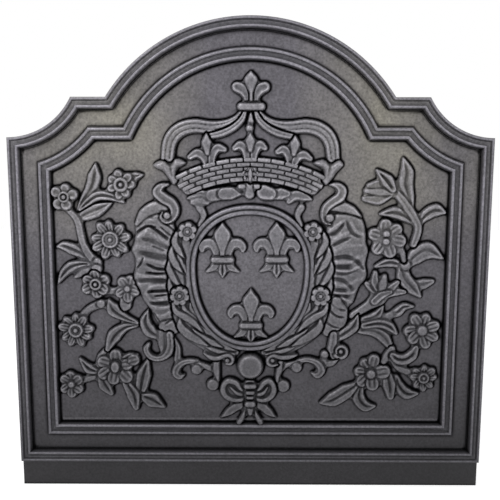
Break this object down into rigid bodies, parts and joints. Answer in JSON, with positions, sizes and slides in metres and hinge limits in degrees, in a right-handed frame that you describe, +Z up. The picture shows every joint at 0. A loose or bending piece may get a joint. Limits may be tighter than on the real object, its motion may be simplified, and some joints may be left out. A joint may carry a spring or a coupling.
{
  "type": "fireback",
  "caption": "Cast-iron fireback: flat plate with arched top and shouldered corners, moulded frame, and in relief a crowned oval shield with fleurs-de-lis, garlands and flower sprays.",
  "frame": {"origin": "under the middle of the plate, on the hearth, halfway through the whole depth with the relief", "axes": "+Z up, +X to the right of someone facing the relief, the relief faces -Y and the flat back faces +Y"},
  "size_m": [0.6, 0.022, 0.6],
  "materials": {
    "plate_iron": "stove-blacked cast iron, satin, fine sand-cast grain, dull ground",
    "moulding_iron": "stove-blacked cast iron, satin, edges rubbed bright",
    "relief_iron": "stove-blacked cast iron, satin, high spots rubbed bright, black in the hollows"
  },
  "bodies": {
    "root": {"back_plate": "plate_iron", "outer_moulding_arch_left": "moulding_iron", "outer_moulding_arch_right": "moulding_iron", "outer_moulding_bottom": "moulding_iron", "outer_moulding_shoulder_left": "moulding_iron", "outer_moulding_shoulder_right": "moulding_iron", "outer_moulding_side_left": "moulding_iron", "outer_moulding_side_right": "moulding_iron", "inner_moulding_arch_left": "moulding_iron", "inner_moulding_arch_right": "moulding_iron", "inner_moulding_bottom": "moulding_iron", "inner_moulding_shoulder_left": "moulding_iron", "inner_moulding_shoulder_right": "moulding_iron", "inner_moulding_side_left": "moulding_iron", "inner_moulding_side_right": "moulding_iron", "shield_rim_lower_left": "moulding_iron", "shield_rim_lower_right": "moulding_iron", "shield_rim_upper_left": "moulding_iron", "shield_rim_upper_right": "moulding_iron", "crown_arch_left": "relief_iron", "crown_arch_right": "relief_iron", "crown_circlet": "relief_iron", "crown_finial": "relief_iron", "crown_fleuron_centre": "relief_iron", "crown_fleuron_end_left": "relief_iron", "crown_fleuron_end_right": "relief_iron", "crown_fleuron_left": "relief_iron", "crown_fleuron_right": "relief_iron", "crown_inner_arch_left": "relief_iron", "crown_inner_arch_right": "relief_iron", "crown_lining_left": "relief_iron", "crown_lining_right": "relief_iron", "fleur_de_lis_bottom": "relief_iron", "fleur_de_lis_left": "relief_iron", "fleur_de_lis_right": "relief_iron", "garland_lower_left": "relief_iron", "garland_lower_right": "relief_iron", "garland_upper_left": "relief_iron", "garland_upper_right": "relief_iron", "left_flower_middle": "relief_iron", "left_flower_pair": "relief_iron", "left_flower_top": "relief_iron", "left_spray_bottom": "relief_iron", "left_spray_middle": "relief_iron", "left_spray_top": "relief_iron", "lower_scroll_left": "relief_iron", "lower_scroll_right": "relief_iron", "mantle_left": "relief_iron", "mantle_right": "relief_iron", "mantle_scroll_left": "relief_iron", "mantle_scroll_right": "relief_iron", "pendant_bow": "relief_iron", "right_flower_open": "relief_iron", "right_flower_outer": "relief_iron", "right_flower_upper": "relief_iron", "right_leaves_lower": "relief_iron", "right_leaves_middle": "relief_iron", "right_spray_bottom": "relief_iron", "right_spray_top": "relief_iron", "round_boss": "relief_iron"}
  },
  "joints": []
}
